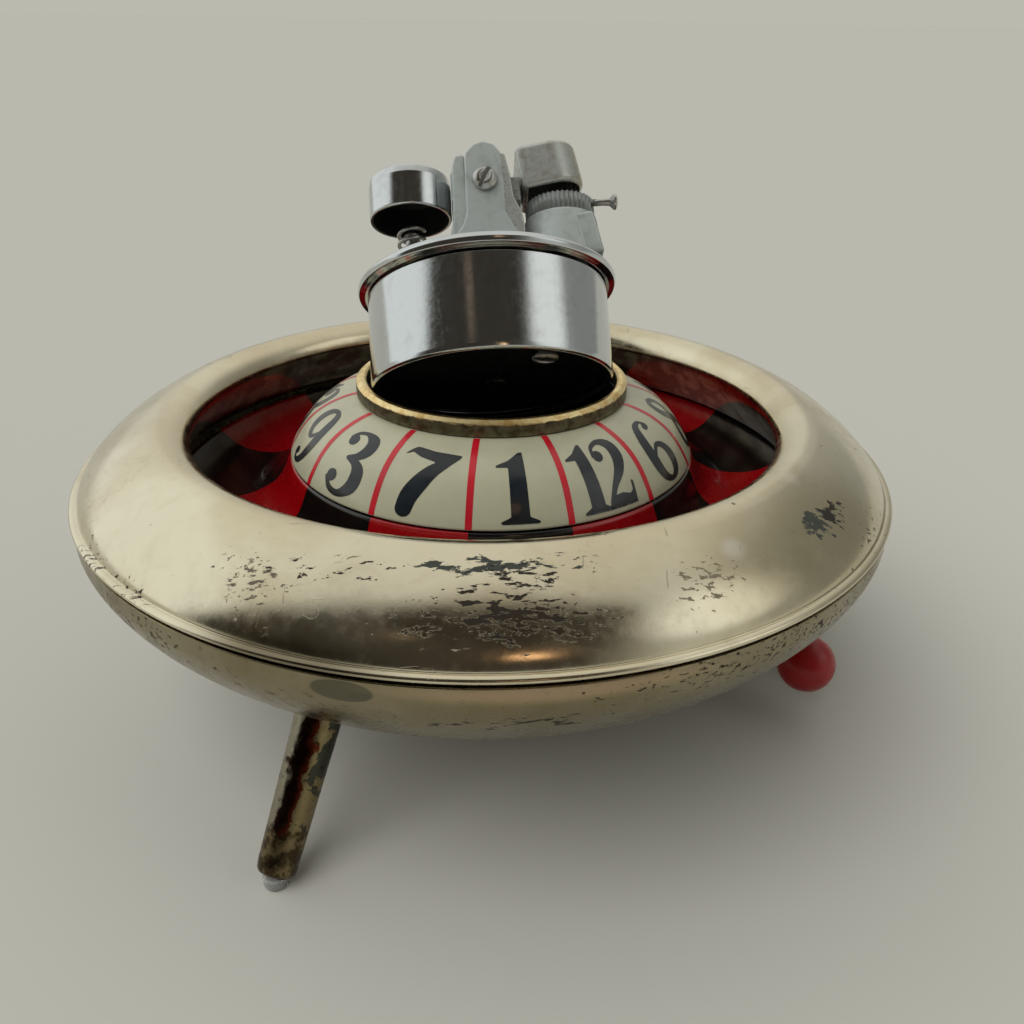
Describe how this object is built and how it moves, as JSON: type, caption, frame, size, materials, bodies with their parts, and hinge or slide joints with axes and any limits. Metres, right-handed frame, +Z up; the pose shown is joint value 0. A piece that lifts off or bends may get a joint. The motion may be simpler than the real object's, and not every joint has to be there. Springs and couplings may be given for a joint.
{
  "type": "table lighter",
  "caption": "Saucer-shaped roulette-wheel table lighter on splayed legs, with a spinning number wheel, a spin lever with a ball knob and a lift-out lighter insert.",
  "frame": {"origin": "middle of the footprint, at the height of the glides under the legs", "axes": "+Z up along the wheel's axis, -Y towards the front, +X to the right"},
  "size_m": [0.125, 0.125, 0.0881],
  "materials": {
    "nickel_shell": "aged nickel plate, warm and scratched",
    "leg_metal": "worn plated brass, brown patina",
    "clear_plastic": "clear glide",
    "steel": "plain steel",
    "steel_dark": "darkened steel",
    "black_steel": "black steel",
    "brass": "polished brass, worn",
    "brass_plain": "turned brass",
    "cream_enamel": "cream enamel with printed numbers",
    "pocket_red": "glossy red and black enamel",
    "red_plastic": "glossy red",
    "chrome": "polished chrome",
    "die_cast": "die-cast metal, plated",
    "tarnished": "heat-tarnished plate",
    "cotton": "cotton",
    "black_rubber": "soft pad"
  },
  "bodies": {
    "base": {"upper_shell": "nickel_shell", "lower_shell": "nickel_shell", "leg_1": "leg_metal", "leg_2": "leg_metal", "leg_3": "leg_metal", "leg_glide_1": "clear_plastic", "leg_glide_2": "clear_plastic", "leg_glide_3": "clear_plastic", "leg_screw_1": "steel", "leg_screw_2": "steel", "leg_screw_3": "steel", "socket_well": "steel_dark", "socket_collar": "brass", "spindle": "steel", "spindle_nut": "steel", "spacer_sleeve": "brass_plain", "lever_spring": "steel"},
    "wheel": {"number_dome": "cream_enamel", "pocket_tray": "pocket_red", "wheel_web": "steel", "wheel_bush": "brass_plain", "ratchet_wheel": "steel"},
    "lever": {"lever_plate": "steel", "lever_rod": "steel", "drive_pawl": "brass_plain", "ball_knob": "red_plastic", "knob_ferrule": "steel_dark"},
    "insert": {"tank_cup": "chrome", "tank_base": "black_steel", "tank_packing": "cotton", "filler_screw": "steel", "flint_screw": "steel", "wick_tube": "steel", "wick": "cotton", "top_flange": "chrome", "mechanism_frame": "die_cast", "chimney_collar": "die_cast", "side_pin": "steel", "pivot_screw": "steel", "pivot_nut": "steel", "stop_post": "steel", "thumb_spring": "steel", "flint_tube": "brass_plain", "flint": "steel_dark", "flint_spring": "steel"},
    "thumb": {"thumb_lever": "die_cast", "thumb_cap": "chrome"},
    "snuffer": {"snuffer_arm": "tarnished", "snuffer_cap": "tarnished", "snuffer_pad": "black_rubber"},
    "striker": {"flint_wheel": "steel_dark"}
  },
  "joints": [
    {"name": "wheel_spin", "type": "hinge", "parent": "base", "child": "wheel", "pos_m": [0.0011, 0, 0.032], "axis": [0, 0, 1], "continuous": true},
    {"name": "lever_swing", "type": "hinge", "parent": "base", "child": "lever", "pos_m": [0.0011, 0, 0.0241], "axis": [0, 0, 1], "range_deg": [-50, 0], "stiffness_Nm_per_rad": 0.02, "springref_deg": 20.05},
    {"name": "insert_lift", "type": "slide", "parent": "base", "child": "insert", "axis": [0, 0, 1], "range_m": [0, 0.045]},
    {"name": "thumb_press", "type": "hinge", "parent": "insert", "child": "thumb", "pos_m": [-0.00004, 0.0123, 0.07895], "axis": [0, -0.81, 0.5864], "range_deg": [0, 18], "stiffness_Nm_per_rad": 0.04, "springref_deg": -22.92},
    {"name": "snuffer_open", "type": "hinge", "parent": "insert", "child": "snuffer", "pos_m": [-0.00004, 0.0123, 0.07895], "axis": [0, -0.81, 0.5864], "range_deg": [0, 36]},
    {"name": "striker_turn", "type": "hinge", "parent": "insert", "child": "striker", "pos_m": [-0.00004, 0.0123, 0.07895], "axis": [0, -0.81, 0.5864], "range_deg": [0, 54]}
  ],
  "couplings": [
    {"joint": "snuffer_open", "follows": "thumb_press", "ratio": 2},
    {"joint": "striker_turn", "follows": "thumb_press", "ratio": 3}
  ]
}
